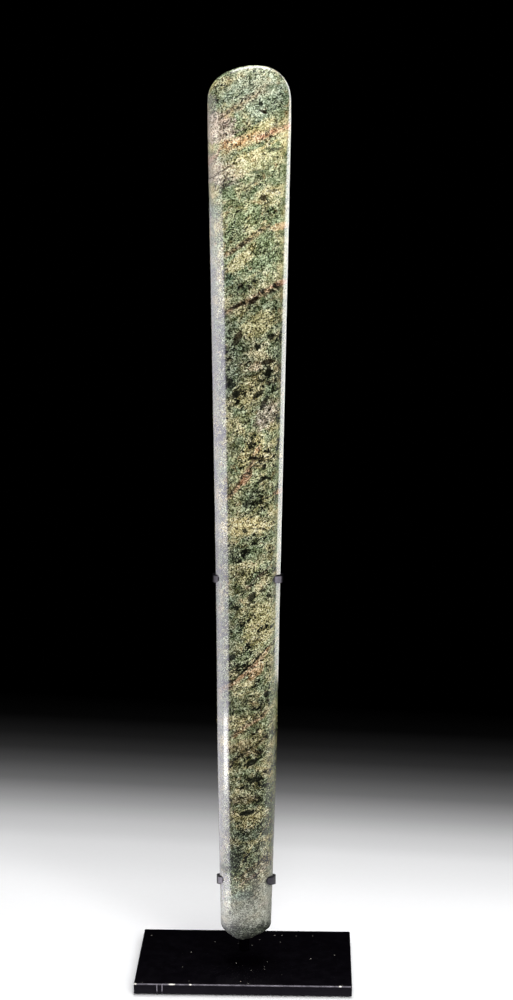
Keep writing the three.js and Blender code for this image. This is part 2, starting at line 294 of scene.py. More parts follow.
# How light and how warm the stone is along its length: height, level to multiply by, and the share
# by which blue is less, with a quarter of it added to red
Tone = namedtuple("Tone", "height level warmth")
TONES = (
    Tone(20, 0.92, 0.0), Tone(50, 0.90, 0.0), Tone(78, 0.48, 0.14), Tone(110, 0.51, 0.16),
    Tone(150, 0.59, 0.20), Tone(198, 0.93, 0.04), Tone(245, 0.88, 0.03), Tone(288, 0.94, 0.08),
    Tone(328, 1.05, 0.06), Tone(365, 0.66, 0.0), Tone(405, 0.87, 0.02), Tone(440, 1.38, 0.05),
    Tone(470, 1.16, 0.0), Tone(490, 1.46, 0.05), Tone(505, 0.92, 0.02), Tone(530, 0.60, -0.04),
)
# What a ramp's colour of 1 stands for, so that levels over 1 can be kept in it
TONE_SCALE = 2.5

# The slope of the grain in degrees, and how far patterns are stretched along it
GRAIN_TILT = 36
GRAIN_STRETCH = 1.35
SPECK_STRETCH = 1.7
STREAK_STRETCH = 3

# Sizes of the patterns in the stone
BEND_SIZE = 6
ZONE_SIZE = 9
GREEN_ZONE_SIZE = 6
RUSTY_GRAIN_SIZE = 3.5
CLUMP_SIZE = 5
DUST_SIZE = 0.66
CLUSTER_SIZE = 9
SPECK_SIZE = 1.8
BLOT_SIZE = 3.4
CRACK_SPACING = 3.6
RAGGED_SIZE = 2.2
TORN_SIZE = 1.3
WANDER_SIZE = 8
STREAK_SIZE = 1.6
VEIN_GAP_SIZE = 2.4
BUTT_EDGE_SIZE = 6
SMEAR_SIZE = 3
PIT_SIZE = 1.1
PECK_SIZE = 1.3

# How far noise moves things: all patterns from their place, a vein from its plane, its dark line's
# edge from its middle, and the edges of the ground butt and the rough underside up or down
BEND_REACH = 4
WANDER_REACH = 3
FRAY_REACH = 1.5
GROUND_RAGGEDNESS = 24
UNDERSIDE_RAGGEDNESS = 9
# How strongly noise tears the ovals of tints and spots, and how soft their edges are
TEAR = 3.6
TINT_SOFTNESS = 0.5
SPOT_SOFTNESS = 0.12
# Depths of the fine pits in the polish and of the pecking on the butt
PIT_RELIEF = 0.1
PECK_RELIEF = 0.35

# A colour's linear value is its lightness to the eye, raised to this power
EYE_GAMMA = 2.2
# Mean share of the stone that its dark dust covers
DUST_COVER = 0.22
DARKEST_GRAIN = (0.07, 0.075, 0.04)
LIGHTEST_GRAIN = (0.95, 0.94, 0.84)
# Above this the noise of the clumps is cut off, so dark grains stand out and pale ones don't
PALEST_CLUMP = 0.57
GREEN_STAIN = "#6d7d5b"
RUSTY_GRAIN = "#9c7a54"
JADEITE_IOR = 1.66

# Heights where the surface changes, how steeply the edge of the ground butt rises across the stone,
# and the depths of the stone's front and of where its tints and spots end
FEW_SPECKS_ABOVE = 400
GROUND_END_HEIGHT = 57
GROUND_SLOPE = 0.9
UNDERSIDE_HEIGHT = 31
STONE_FRONT = -19
MARKS_END = -6


def noise_at(tree, vector, size, detail=2.0, rough=0.5):
    """A noise pattern whose blotches are about the given size in millimetres."""
    place = {"Vector": vector, "Scale": 1 / size, "Detail": detail, "Roughness": rough}
    return add(tree, "ShaderNodeTexNoise", place).outputs[0]


def shifted(tree, vector, shift):
    """The same place moved, so that a second pattern doesn't follow the first."""
    return add(tree, "ShaderNodeVectorMath", [vector, shift], operation="ADD")


def along_grain(tree, vector, stretch):
    """Coordinates turned to the stone's grain and stretched along it."""
    return add(
        tree, "ShaderNodeMapping",
        {"Vector": vector, "Rotation": (0, -math.radians(GRAIN_TILT), 0), "Scale": (stretch, 1, 1)},
        vector_type="TEXTURE",
    )


# The patterns that all veins share: how far each wanders from its plane, how the edge of its dark
# line frays, the streaks in its stain and the gaps in its line
VeinNoise = namedtuple("VeinNoise", "wander fray streaks gaps")


def vein_shares(tree, in_mm, across, patterns, vein):
    """How much of a vein's stain and of its dark line show at each point of a wavy sheet that
    fades at its ends."""
    rise = math.radians(vein.rise)
    facing = (-math.sin(rise), -vein.lean * math.cos(rise), math.cos(rise))
    offset = (vein.height - vein.lean * STONE_FRONT) * math.cos(rise)
    away = add(tree, "ShaderNodeMath", [far_along(tree, in_mm, facing), offset], operation="SUBTRACT")
    wavy = add(tree, "ShaderNodeMath", [away, patterns.wander], operation="ADD")
    ends = product(
        tree,
        fade(tree, across, vein.left - 2, vein.left + 3),
        fade(tree, across, vein.right - 3, vein.right + 2, 1, 0),
    )
    from_middle = add(tree, "ShaderNodeMath", [wavy], operation="ABSOLUTE")
    near = fade(tree, from_middle, 0, vein.reach, 1, 0)
    halo = product(tree, near, ends, patterns.streaks, vein.strength)
    if vein.dark == 0:
        return halo, None
    from_core = apart(tree, wavy, vein.offset)
    frayed = add(tree, "ShaderNodeMath", [from_core, patterns.fray], operation="ADD")
    core = fade(tree, frayed, vein.core * 0.6, vein.core * 1.5, 1, 0)
    kept = fade(tree, patterns.gaps, vein.broken - 0.10, vein.broken + 0.12)
    return halo, product(tree, core, ends, kept, vein.dark)


def patch_share(tree, in_mm, ragged, patch, softness):
    """How much of a patch shows at each point: an oval with a ragged edge."""
    tilt = math.radians(patch.tilt)
    middle = (patch.across, 0, patch.height)
    from_middle = add(tree, "ShaderNodeVectorMath", [in_mm, middle], operation="SUBTRACT")
    long_axis = (math.cos(tilt) / patch.length, 0, math.sin(tilt) / patch.length)
    short_axis = (-math.sin(tilt) / patch.breadth, 0, math.cos(tilt) / patch.breadth)
    along = far_along(tree, from_middle, long_axis)
    over = far_along(tree, from_middle, short_axis)
    reach = plus(tree, product(tree, along, along), over, over)
    uneven = add(tree, "ShaderNodeMath", [reach, ragged], operation="ADD")
    return fade(tree, uneven, 1 - softness, 1 + softness, patch.strength, 0)


def patched(tree, colour, in_mm, ragged, patches, softness):
    """A colour with patches laid over it."""
    for patch in patches:
        share = patch_share(tree, in_mm, ragged, patch, softness)
        colour = stain(tree, colour, linear(patch.colour), share)
    return colour


def body_colour(tree, grain):
    """The stone's own soft colours: moss, grey green, olive and cream in zones of about a centimetre,
    here and there with a rusty grain."""
    body = ramp(tree, noise_at(tree, grain, ZONE_SIZE, 3, 0.6), (
        (0.36, linear("#515a3a")),
        (0.43, linear("#6c7452")),
        (0.49, linear("#868562")),
        (0.56, linear("#99946b")),
        (0.63, linear("#b2a980")),
        (0.70, linear("#c8bd92")),
    ))
    cool = fade(tree, noise_at(tree, shifted(tree, grain, (31, 7, 5)), GREEN_ZONE_SIZE), 0.45, 0.58, 0, 0.6)
    greener = stain(tree, body, linear(GREEN_STAIN), cool)
    rusty_noise = noise_at(tree, shifted(tree, grain, (5, 41, -9)), RUSTY_GRAIN_SIZE)
    rust = fade(tree, rusty_noise, 0.60, 0.70, 0, 0.4)
    return stain(tree, greener, linear(RUSTY_GRAIN), rust)


def crystal_steps(tree, in_mm, grain, settings):
    """How far each crystal is lighter or darker than its surroundings to the eye, from clumps of five
    millimetres down to single grains. The grains are drawn as coarse as a picture can show."""
    clump_noise = noise_at(tree, shifted(tree, grain, (4, 9, -7)), CLUMP_SIZE, 4, 0.85)
    clumps = add(tree, "ShaderNodeMath", [clump_noise, PALEST_CLUMP], operation="MINIMUM")
    cells = add(tree, "ShaderNodeTexVoronoi", {"Vector": grain, "Scale": 1 / settings.crystal_size})
    crystal = add(tree, "ShaderNodeSeparateColor", [cells.outputs["Color"]]).outputs[0]
    total = settings.dust_contrast * DUST_COVER
    total -= 0.5 * (settings.clump_contrast + settings.crystal_contrast)
    total = plus(tree, total, clumps, settings.clump_contrast)
    total = plus(tree, total, crystal, settings.crystal_contrast)
    dust = fade(tree, noise_at(tree, in_mm, DUST_SIZE, 2, 0.7), 0.30, 0.56, 1, 0)
    return plus(tree, total, dust, -settings.dust_contrast)


def grained(tree, colour, steps):
    """A colour with its grain: the steps are added as the eye sees them, so pale grains don't turn
    yellow."""
    seen = add(tree, "ShaderNodeGamma", [colour, 1 / EYE_GAMMA])
    stepped = add(tree, "ShaderNodeVectorMath", [seen, steps], operation="ADD")
    above = add(tree, "ShaderNodeVectorMath", [stepped, DARKEST_GRAIN], operation="MAXIMUM")
    below = add(tree, "ShaderNodeVectorMath", [above, LIGHTEST_GRAIN], operation="MINIMUM")
    return add(tree, "ShaderNodeGamma", [below, EYE_GAMMA]).outputs[0]


def dark_specks(tree, bent, height):
    """Black grains a millimetre or two across and hair cracks, in clusters, and fewer towards the
    cutting edge."""
    grain = along_grain(tree, bent, SPECK_STRETCH)
    clusters = noise_at(tree, shifted(tree, grain, (61, 2, -37)), CLUSTER_SIZE)
    fewer = fade(tree, height, FEW_SPECKS_ABOVE - 30, FEW_SPECKS_ABOVE + 30, 0, -0.05)
    more = plus(tree, fewer, clusters, 0.35)
    speck_noise = noise_at(tree, shifted(tree, grain, (-13, 19, 23)), SPECK_SIZE, 3, 0.75)
    fine = add(tree, "ShaderNodeMath", [speck_noise, more], operation="ADD")
    blot_noise = noise_at(tree, shifted(tree, grain, (8, -31, 3)), BLOT_SIZE, 4, 0.8)
    coarse = add(tree, "ShaderNodeMath", [blot_noise, more], operation="ADD")
    specks = strongest(tree, fade(tree, fine, 0.75, 0.78, 0, 0.98), fade(tree, coarse, 0.77, 0.79, 0, 0.99))
    ridge = apart(tree, noise_at(tree, shifted(tree, grain, (3, 27, 11)), CRACK_SPACING, 3, 0.6), 0.5)
    cracks = product(tree, fade(tree, ridge, 0.010, 0.026, 1, 0), fade(tree, clusters, 0.46, 0.58, 0, 0.8))
    return strongest(tree, specks, cracks)


def tone_along(tree, colour, height):
    """Makes the stone lighter or darker, and warmer or cooler, along its length."""
    lowest, highest = (corner.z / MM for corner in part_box("axe_head"))
    stops = []
    for tone in TONES:
        balance = (1 + tone.warmth / 4, 1, 1 - tone.warmth)
        tint = tuple(tone.level / TONE_SCALE * share for share in balance) + (1,)
        stops.append(((tone.height - lowest) / (highest - lowest), tint))
    tones = ramp(tree, fade(tree, height, lowest, highest, shape="LINEAR"), stops)
    lit = add(tree, "ShaderNodeVectorMath", {0: tones, "Scale": TONE_SCALE}, operation="SCALE")
    return add(
        tree, "ShaderNodeMix", {0: 1.0, 6: colour, 7: lit}, data_type="RGBA", blend_type="MULTIPLY",
    ).outputs[2]


def polished_jadeite(settings):
    """Jadeite, ground to shape and polished by hand: mottled green and cream with rusty veins and black
    specks under a hard gloss. The butt's last stretch is only ground, so it is grey and dull."""
    material, tree, shader, in_mm = new_material("polished_jadeite")
    parts = add(tree, "ShaderNodeSeparateXYZ", [in_mm])
    across, deep, height = (parts.outputs[axis] for axis in "XYZ")
    drift = add(tree, "ShaderNodeTexNoise", {"Vector": in_mm, "Scale": 1 / BEND_SIZE, "Detail": 2})
    centred = add(
        tree, "ShaderNodeVectorMath", [drift.outputs["Color"], (0.5, 0.5, 0.5)], operation="SUBTRACT",
    )
    bent = add(tree, "ShaderNodeVectorMath", [centred, (BEND_REACH,) * 3, in_mm], operation="MULTIPLY_ADD")
    grain = along_grain(tree, bent, GRAIN_STRETCH)

    colour = body_colour(tree, grain)
    ragged_noise = noise_at(tree, shifted(tree, grain, (9, 9, 9)), RAGGED_SIZE, 4, 0.7)
    behind = fade(tree, deep, MARKS_END, MARKS_END + 8, -TEAR / 2, 2.0)
    ragged = plus(tree, behind, ragged_noise, TEAR)
    wander_noise = noise_at(tree, shifted(tree, in_mm, (-5, 3, 8)), WANDER_SIZE, 4, 0.65)
    wander = plus(tree, -WANDER_REACH, wander_noise, 2 * WANDER_REACH)
    streak_place = shifted(tree, along_grain(tree, in_mm, STREAK_STRETCH), (7, 0, 3))
    streaks = fade(tree, noise_at(tree, streak_place, STREAK_SIZE, 3, 0.7), 0.36, 0.58, 0.4, 1)
    gaps = noise_at(tree, shifted(tree, in_mm, (2, 14, -6)), VEIN_GAP_SIZE, 2, 0.6)

    colour = patched(tree, colour, in_mm, ragged, TINTS, TINT_SOFTNESS)
    dark = dark_specks(tree, bent, height)
    torn_noise = noise_at(tree, bent, TORN_SIZE, 3, 0.8)
    fray = plus(tree, -FRAY_REACH, torn_noise, 2 * FRAY_REACH)
    patterns = VeinNoise(wander, fray, streaks, gaps)
    for vein in VEINS:
        halo, core = vein_shares(tree, in_mm, across, patterns, vein)
        colour = stain(tree, colour, linear(vein.colour), halo)
        dark = dark if core is None else strongest(tree, dark, core)
    colour = tone_along(tree, colour, height)

    # The ground butt is grey, and the rough underside is painted dark as the shade that falls under it
    edge_noise = noise_at(tree, in_mm, BUTT_EDGE_SIZE, 4, 0.65)
    sloped = plus(tree, height, across, -GROUND_SLOPE)
    uneven_edge = plus(tree, sloped, edge_noise, GROUND_RAGGEDNESS)
    ground = fade(tree, uneven_edge, GROUND_END_HEIGHT - 4, GROUND_END_HEIGHT + 22, 1, 0)
    colour = stain(tree, colour, linear(settings.ground_colour), product(tree, ground, 0.8))
    uneven_height = plus(tree, height, edge_noise, UNDERSIDE_RAGGEDNESS)
    under = fade(tree, uneven_height, UNDERSIDE_HEIGHT + 5, UNDERSIDE_HEIGHT + 10, 1, 0)
    colour = stain(tree, colour, linear(settings.underside_shade_colour), product(tree, under, 0.97))

    # The grain is plainer on the butt, on the narrow sides and near the cutting edge, and stronger
    # on the rough underside
    steps = crystal_steps(tree, in_mm, grain, settings)
    normal = add(tree, "ShaderNodeSeparateXYZ", [add(tree, "ShaderNodeNewGeometry").outputs["Normal"]])
    sideways = add(tree, "ShaderNodeMath", [normal.outputs["X"]], operation="ABSOLUTE")
    strength = product(
        tree,
        fade(tree, ground, 0, 1, 1, 0.45),
        fade(tree, sideways, 0.50, 0.80, 1, 0.35),
        fade(tree, height, 425, 470, 1, 0.84),
        fade(tree, under, 0, 1, 1, 2.0),
    )
    colour = grained(tree, colour, product(tree, steps, strength))
    dark = product(tree, dark, fade(tree, ground, 0, 1, 1, 0.5))
    colour = stain(tree, colour, linear(settings.speck_colour), dark)
    torn = plus(tree, behind, torn_noise, TEAR)
    colour = patched(tree, colour, in_mm, torn, SPOTS, SPOT_SOFTNESS)
    tree.links.new(colour, shader.inputs["Base Color"])

    smears = noise_at(tree, in_mm, SMEAR_SIZE, 3, 0.6)
    gloss = fade(tree, smears, 0.35, 0.7, settings.polish, settings.polish + 0.08)
    roughnesses = {0: ground, 2: gloss, 3: settings.ground_roughness}
    dull = add(tree, "ShaderNodeMix", roughnesses, data_type="FLOAT")
    tree.links.new(dull.outputs[0], shader.inputs["Roughness"])
    shader.inputs["IOR"].default_value = JADEITE_IOR

    pits = noise_at(tree, in_mm, PIT_SIZE, 2, 0.6)
    pitted = add(tree, "ShaderNodeBump", {"Strength": 0.05, "Distance": PIT_RELIEF * MM, "Height": pits})
    pecks = add(
        tree, "ShaderNodeTexVoronoi", {"Vector": in_mm, "Scale": 1 / PECK_SIZE}, feature="SMOOTH_F1",
    )
    peck_height = product(tree, pecks.outputs["Distance"], ground)
    bump = add(
        tree, "ShaderNodeBump",
        {"Strength": 0.5, "Distance": PECK_RELIEF * MM, "Height": peck_height, "Normal": pitted},
    )
    tree.links.new(bump.outputs[0], shader.inputs["Normal"])
    return material


# Black painted steel: all in millimetres

# Chips in the plate's top front edge: their place across and half length, and how far they reach
# back and down
Chip = namedtuple("Chip", "across length")
EDGE_CHIPS = (Chip(-62.6, 0.9), Chip(-41.3, 2.3), Chip(-30.5, 0.8), Chip(56.7, 1.0))
CHIP_DEPTH = 0.9
CHIP_HEIGHT = 0.6
# Scratches down the plate's front from its top edge, by their place across, and how far below that
# edge they start to fade and end
SCRATCHES = (-50.0, -47.0)
SCRATCH_FADE = 3.5
SCRATCH_END = 5.5
# How steeply each clip's arms rise towards the front, and how strong the painted reflection is on its left
# and right prong; the strip is 5 mm wide
Clip = namedtuple("Clip", "node slope left_wear right_wear")
CLIPS = (Clip("upper_clip", 0.18, 0.51, 0.48), Clip("lower_clip", 0.3, 1.0, 0.1))
CLIP_HALF_STRIP = 2.5
DUST_COLOUR = "#a9a49a"
BARE_STEEL = "#e6e2da"

# Sizes of the patterns in the paint; the dust is drawn coarser than it is, so that it shows
BRUSH_SIZE = 14
DUST_SPACING = 4.5
SHEEN_SIZE = 6
EDGE_HIGHLIGHT_PATCH_SIZE = 3
REFLECTION_PATCH_SIZE = 1.6
PAINT_GRAIN_SIZE = 0.9
PAINT_GRAIN_RELIEF = 0.15
DUSTY_ROUGHNESS = 0.9
PAINT_IOR = 1.5

# A painted material, with what wear and painted highlights are laid over
Paint = namedtuple("Paint", "material tree shader in_mm colour facing")


def black_painted_steel(settings, name):
    """Mild steel under dull black paint: a near-black with a faint purple cast, a weak sheen that
    varies with the brush and with handling, and a little pale dust."""
    material, tree, shader, in_mm = new_material(name)
    colour = ramp(tree, noise_at(tree, in_mm, BRUSH_SIZE, 4, 0.65), (
        (0.3, linear(settings.paint_colour)),
        (0.75, linear(settings.worn_colour)),
    ))
    dust_cells = add(tree, "ShaderNodeTexVoronoi", {"Vector": in_mm, "Scale": 1 / DUST_SPACING})
    speck = fade(tree, dust_cells.outputs["Distance"], 0.05, 0.10, 1, 0)
    chance = add(tree, "ShaderNodeSeparateColor", [dust_cells.outputs["Color"]]).outputs[0]
    kept = fade(tree, chance, 0.55, 0.62)
    geometry = add(tree, "ShaderNodeNewGeometry")
    facing = add(tree, "ShaderNodeSeparateXYZ", [geometry.outputs["True Normal"]])
    flat = fade(tree, facing.outputs["Z"], 0.85, 0.98)
    dust = product(tree, speck, kept, flat, settings.dust)
    colour = stain(tree, colour, linear(DUST_COLOUR), dust)
    tree.links.new(colour, shader.inputs["Base Color"])
    smears = noise_at(tree, in_mm, SHEEN_SIZE, 4, 0.6)
    sheen = fade(tree, smears, 0.3, 0.75, settings.sheen, settings.sheen + 0.14)
    rough = add(tree, "ShaderNodeMix", {0: dust, 2: sheen, 3: DUSTY_ROUGHNESS}, data_type="FLOAT")
    tree.links.new(rough.outputs[0], shader.inputs["Roughness"])
    shader.inputs["IOR"].default_value = PAINT_IOR
    shader.inputs["Specular IOR Level"].default_value = settings.gloss
    shader.inputs["Specular Tint"].default_value = linear(settings.gloss_colour)
    grit = noise_at(tree, in_mm, PAINT_GRAIN_SIZE, 3, 0.6)
    relief = {"Strength": 0.12, "Distance": PAINT_GRAIN_RELIEF * MM, "Height": grit}
    bump = add(tree, "ShaderNodeBump", relief)
    tree.links.new(bump.outputs[0], shader.inputs["Normal"])
    return Paint(material, tree, shader, in_mm, colour, facing)


def chip_share(tree, from_edge, chip):
    """How much bare steel shows at each point: a small oval on the plate's top front edge."""
    aside = add(tree, "ShaderNodeVectorMath", [from_edge, (chip.across, 0, 0)], operation="SUBTRACT")
    size = (1 / chip.length, 1 / CHIP_DEPTH, 1 / CHIP_HEIGHT)
    scaled = add(tree, "ShaderNodeVectorMath", [aside, size], operation="MULTIPLY")
    reach = add(tree, "ShaderNodeVectorMath", [scaled], operation="LENGTH").outputs["Value"]
    return fade(tree, reach, 0.7, 1.1, 1, 0)


def painted_plate(settings):
    """The same paint on the plate, with a pale line painted along its top front edge as the highlight on
    its rounding, chipped there to bright steel and scratched below it."""
    paint = black_painted_steel(settings, "black_painted_steel_plate")
    tree = paint.tree
    low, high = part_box("stand_base")
    front, top = low.y / MM, high.z / MM
    from_edge = add(tree, "ShaderNodeVectorMath", [paint.in_mm, (0, front, top)], operation="SUBTRACT")
    bare = None
    for chip in EDGE_CHIPS:
        share = chip_share(tree, from_edge, chip)
        bare = share if bare is None else strongest(tree, bare, share)
    # Painted highlight: a patchy pale line along the top front edge, where its rounding catches the light
    across_edge = add(tree, "ShaderNodeVectorMath", [from_edge, (0, 1, 1)], operation="MULTIPLY")
    edge_reach = add(tree, "ShaderNodeVectorMath", [across_edge], operation="LENGTH").outputs["Value"]
    patchy = fade(tree, noise_at(tree, paint.in_mm, EDGE_HIGHLIGHT_PATCH_SIZE, 3, 0.6), 0.35, 0.65, 0.20, 0.42)
    edge_highlight_and_scratches = product(tree, fade(tree, edge_reach, 0.35, 0.75, 1, 0), patchy)
    place = add(tree, "ShaderNodeSeparateXYZ", [paint.in_mm])
    across, deep, height = (place.outputs[axis] for axis in "XYZ")
    for scratch in SCRATCHES:
        line = product(
            tree,
            fade(tree, apart(tree, across, scratch), 0.1, 0.3, 1, 0),
            fade(tree, height, top - SCRATCH_END, top - SCRATCH_FADE),
            fade(tree, deep, front + 0.1, front + 0.5, 0.6, 0),
        )
        edge_highlight_and_scratches = strongest(tree, edge_highlight_and_scratches, line)
    # The painted edge highlight and the real scratches take the same pale grey
    colour = stain(tree, paint.colour, linear(settings.scratch_and_reflection_colour), edge_highlight_and_scratches)
    colour = stain(tree, colour, linear(BARE_STEEL), bare)
    tree.links.new(colour, paint.shader.inputs["Base Color"])
    return paint.material


def prong_ends(node):
    """How far across the left and the right prong of a clip reach over the stone's front."""
    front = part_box(node)[0].y
    points = [v.co.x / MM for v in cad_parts[node].data.vertices if v.co.y < front + MM]
    middle = (min(points) + max(points)) / 2
    return max(x for x in points if x < middle), min(x for x in points if x > middle)


def clip_with_painted_reflection(settings, clip):
    """The same paint on a clip, with a purple grey painted as a reflection along the middle of the front
    faces of its left and right prongs; their edges keep the plain black paint."""
    paint = black_painted_steel(settings, "black_painted_steel_" + clip.node)
    tree = paint.tree
    # Painted reflection: a purple grey on the prongs' forward and outward faces, where they would mirror
    # the light
    ahead = fade(tree, paint.facing.outputs["Y"], -0.50, -0.30, 1, 0)
    place = add(tree, "ShaderNodeSeparateXYZ", [paint.in_mm])
    across, deep, height = (place.outputs[axis] for axis in "XYZ")
    outward = fade(tree, product(tree, across, paint.facing.outputs["X"]), 0, 1)
    low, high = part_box(clip.node)
    tip_height = high.z / MM - CLIP_HALF_STRIP
    inward = add(tree, "ShaderNodeMath", [deep, low.y / MM], operation="SUBTRACT")
    on_strip = plus(tree, height, inward, clip.slope)
    middle = fade(tree, apart(tree, on_strip, tip_height), 1.6, 2.3, 1, 0)
    left_end, right_end = prong_ends(clip.node)
    half_gap = (right_end - left_end) / 2
    from_gap = apart(tree, across, (left_end + right_end) / 2)
    middle = product(tree, middle, fade(tree, from_gap, half_gap + 0.2, half_gap + 1.1))
    reflection_across = fade(tree, across, -5, 5, clip.left_wear, clip.right_wear)
    patchy_reflection = fade(tree, noise_at(tree, paint.in_mm, REFLECTION_PATCH_SIZE, 3, 0.6), 0.3, 0.7, 0.75, 1)
    share = product(tree, ahead, outward, middle, reflection_across, patchy_reflection)
    colour = stain(tree, paint.colour, linear(settings.scratch_and_reflection_colour), share)
    tree.links.new(colour, paint.shader.inputs["Base Color"])
    return paint.material


# Meshes

# Corners closer than this many metres are one; angles are in degrees
WELD = 0.00001
JOIN_ANGLE = 60
ANY_SHAPE = 180
FLAT_ANGLE = 0.8
EASED_ANGLE = 35
SHARP_ANGLE = 40
EASE_SEGMENTS = 3
SURFACE_LEVELS = 2
# The solid's long edges are cut, more finely low down where the butt is pecked
LONG_STEP = 8 * MM
FINE_CUTS = 6
COARSE_CUTS = 1
FINE_BELOW = 75 * MM

# Sizes of the hand work, in millimetres
ROLL_SIZE = 17
FAINT_ROLL_SIZE = 6
RAGGED_EDGE_SIZE = 5
WIDE_PIT_SIZE = 1.7
FINE_PIT_SIZE = 0.9
LUMP_SIZE = 3.2


def welded_copy(node):
    """A bmesh of a node's solid with its loose triangles joined at their corners."""
    bm = bmesh.new()
    bm.from_mesh(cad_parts[node].data)
    bmesh.ops.remove_doubles(bm, verts=bm.verts, dist=WELD)
    bm.normal_update()
    return bm


def new_piece(bm, name, node, slot, *materials):
    """Makes a bmesh the object that stands for a node, riding on the one body."""
    mesh = bpy.data.meshes.new(name)
    bm.to_mesh(mesh)
    bm.free()
    for material in materials:
        mesh.materials.append(material)
    piece = bpy.data.objects.new(name, mesh)
    bpy.context.scene.collection.objects.link(piece)
    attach(piece, BODY)
    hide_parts(node)
    return piece


def smooth_share(value, low, high):
    """0 below low, 1 above high and a smooth step between."""
    share = min(max((value - low) / (high - low), 0), 1)
    return share * share * (3 - 2 * share)


def work_surface(co, settings):
    """How far hand work moves the stone's surface out or in at a point, in metres."""
    at = co / MM
    roll = noise.noise(at / ROLL_SIZE) + noise.noise(at / FAINT_ROLL_SIZE) * 0.25
    ragged_height = at.z + noise.noise(at / RAGGED_EDGE_SIZE) * 5
    pecked = 1 - smooth_share(ragged_height, GROUND_END_HEIGHT - 9, GROUND_END_HEIGHT + 7)
    pits = -abs(noise.noise(at / WIDE_PIT_SIZE)) - 0.4 * abs(noise.noise(at / FINE_PIT_SIZE))
    broken = 1 - smooth_share(at.z, UNDERSIDE_HEIGHT - 6, UNDERSIDE_HEIGHT + 2)
    lumps = noise.noise(at / LUMP_SIZE) - 0.6
    pecking = pecked * pits * settings.peck_depth
    roughness = broken * lumps * settings.butt_relief
    return (roll * settings.hand_polish + pecking + roughness) * MM


def finished_mesh(piece):
    """Replaces a piece's mesh by what its modifiers make of it, and takes them off."""
    graph = bpy.context.evaluated_depsgraph_get()
    mesh = bpy.data.meshes.new_from_object(piece.evaluated_get(graph))
    piece.modifiers.clear()
    old = piece.data
    piece.data = mesh
    mesh.name = old.name
    bpy.data.meshes.remove(old)


def shape_stone(settings, material):
    """The stone's solid made smooth, then worked by hand: a faint roll in the polish, a pecked butt
    and a rough underside."""
    bm = welded_copy("axe_head")
    bmesh.ops.join_triangles(
        bm, faces=bm.faces, angle_face_threshold=math.radians(JOIN_ANGLE),
        angle_shape_threshold=math.radians(ANY_SHAPE),
    )
    tall = [e for e in bm.edges if abs(e.verts[0].co.z - e.verts[1].co.z) > LONG_STEP]
    low = [e for e in tall if min(v.co.z for v in e.verts) < FINE_BELOW]
    high = [e for e in tall if min(v.co.z for v in e.verts) >= FINE_BELOW]
    bmesh.ops.subdivide_edges(bm, edges=low, cuts=FINE_CUTS, use_grid_fill=True)
    high = [e for e in high if e.is_valid]
    bmesh.ops.subdivide_edges(bm, edges=high, cuts=COARSE_CUTS, use_grid_fill=True)
    bmesh.ops.recalc_face_normals(bm, faces=bm.faces)
    piece = new_piece(bm, "jadeite_axe_head", "axe_head", STONE_SLOT, material)
    smooth = piece.modifiers.new("Smooth surface", "SUBSURF")
    smooth.levels = SURFACE_LEVELS
    smooth.render_levels = SURFACE_LEVELS
    finished_mesh(piece)
    mesh = piece.data
    moves = [v.normal * work_surface(v.co, settings) for v in mesh.vertices]
    for vertex, move in zip(mesh.vertices, moves):
        vertex.co += move
    mesh.shade_smooth()
    mesh.update()
    return piece


def shape_steel(node, name, edge, material):
    """A stand part's solid with flat faces made whole and its sharp edges eased, as filing and paint
    leave them."""
    bm = welded_copy(node)
    bmesh.ops.dissolve_limit(bm, angle_limit=math.radians(FLAT_ANGLE), verts=bm.verts, edges=bm.edges)
    bmesh.ops.recalc_face_normals(bm, faces=bm.faces)
    piece = new_piece(bm, name, node, STEEL_SLOT, material)
    ease = piece.modifiers.new("Eased edges", "BEVEL")
    ease.width = edge
    ease.segments = EASE_SEGMENTS
    ease.limit_method = "ANGLE"
    ease.angle_limit = math.radians(EASED_ANGLE)
    ease.miter_outer = "MITER_ARC"
    finished_mesh(piece)
    piece.data.shade_smooth()
    piece.data.set_sharp_from_angle(angle=math.radians(SHARP_ANGLE))
    return piece


# Settings

class StoneSettings(PropertyGroup):
    """Sizes and colours of the stone's finish."""

    crystal_size: FloatProperty(
        name="Crystal size", description="Size of the crystals in millimetres", default=0.8, min=0.2)
    clump_contrast: FloatProperty(
        name="Clump contrast", description="How much clumps of crystals differ in lightness",
        default=1.2, min=0)
    crystal_contrast: FloatProperty(
        name="Crystal contrast", description="How much single crystals differ in lightness",
        default=0.42, min=0)
    dust_contrast: FloatProperty(
        name="Dust contrast", description="How much the finest grains darken the stone",
        default=0.95, min=0)
    polish: FloatProperty(
        name="Polish", description="Roughness of the polished face",
        default=0.13, min=0, max=1, subtype="FACTOR")
    ground_roughness: FloatProperty(
        name="Ground roughness", description="Roughness of the ground butt",
        default=0.62, min=0, max=1, subtype="FACTOR")
    hand_polish: FloatProperty(
        name="Hand polish", description="Height of the roll in the polish in millimetres",
        default=0.05, min=0)
    peck_depth: FloatProperty(
        name="Peck depth", description="Depth of the pecking on the butt in millimetres",
        default=0.16, min=0)
    butt_relief: FloatProperty(
        name="Butt relief", description="Depth of the rough underside in millimetres", default=0.35, min=0)
    speck_colour: StringProperty(
        name="Specks", description="sRGB hex of the black specks", default="#0a0b06")
    ground_colour: StringProperty(
        name="Ground", description="sRGB hex of the ground butt", default="#94948a")
    # The underside's dark colour is painted shade, where the butt turns down away from the light
    underside_shade_colour: StringProperty(
        name="Underside", description="sRGB hex of the rough underside", default="#1b2210")


